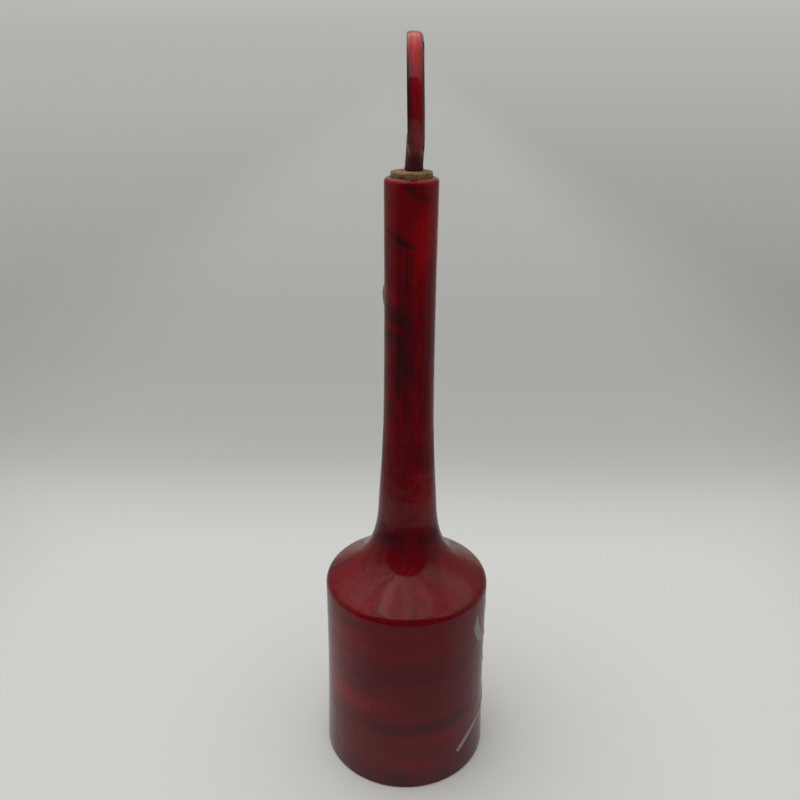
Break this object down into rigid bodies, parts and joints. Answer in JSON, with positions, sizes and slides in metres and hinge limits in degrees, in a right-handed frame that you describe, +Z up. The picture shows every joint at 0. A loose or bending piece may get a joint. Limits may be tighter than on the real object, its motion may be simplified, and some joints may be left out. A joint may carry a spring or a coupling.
{
  "type": "ceramic bottle",
  "caption": "Tall glazed ceramic bottle with a wide round body, a long slim neck, a cork and a flat round stopper on edge.",
  "frame": {"origin": "centre of the flat base, on the surface the bottle stands on", "axes": "+Z up along the bottle's axis; the stopper's edge faces -Y, its decorated face +X, and the sprig on the body is on +X"},
  "size_m": [0.1108, 0.1108, 0.4674],
  "materials": {
    "glaze": "gloss",
    "cork": "matte",
    "silver": "satin"
  },
  "bodies": {
    "root": {"bottle": "glaze", "cork": "cork", "stopper": "glaze", "stroke_stem": "silver", "stroke_curl_1": "silver", "stroke_curl_2": "silver", "stroke_petal_1": "silver", "stroke_petal_2": "silver", "stroke_leaf_1": "silver", "stroke_leaf_2": "silver", "stroke_leaf_3": "silver", "stroke_neck_1": "silver", "stroke_neck_2": "silver", "stroke_neck_3": "silver", "stroke_disc_1": "silver", "stroke_disc_2": "silver", "stroke_disc_3": "silver"}
  },
  "joints": []
}
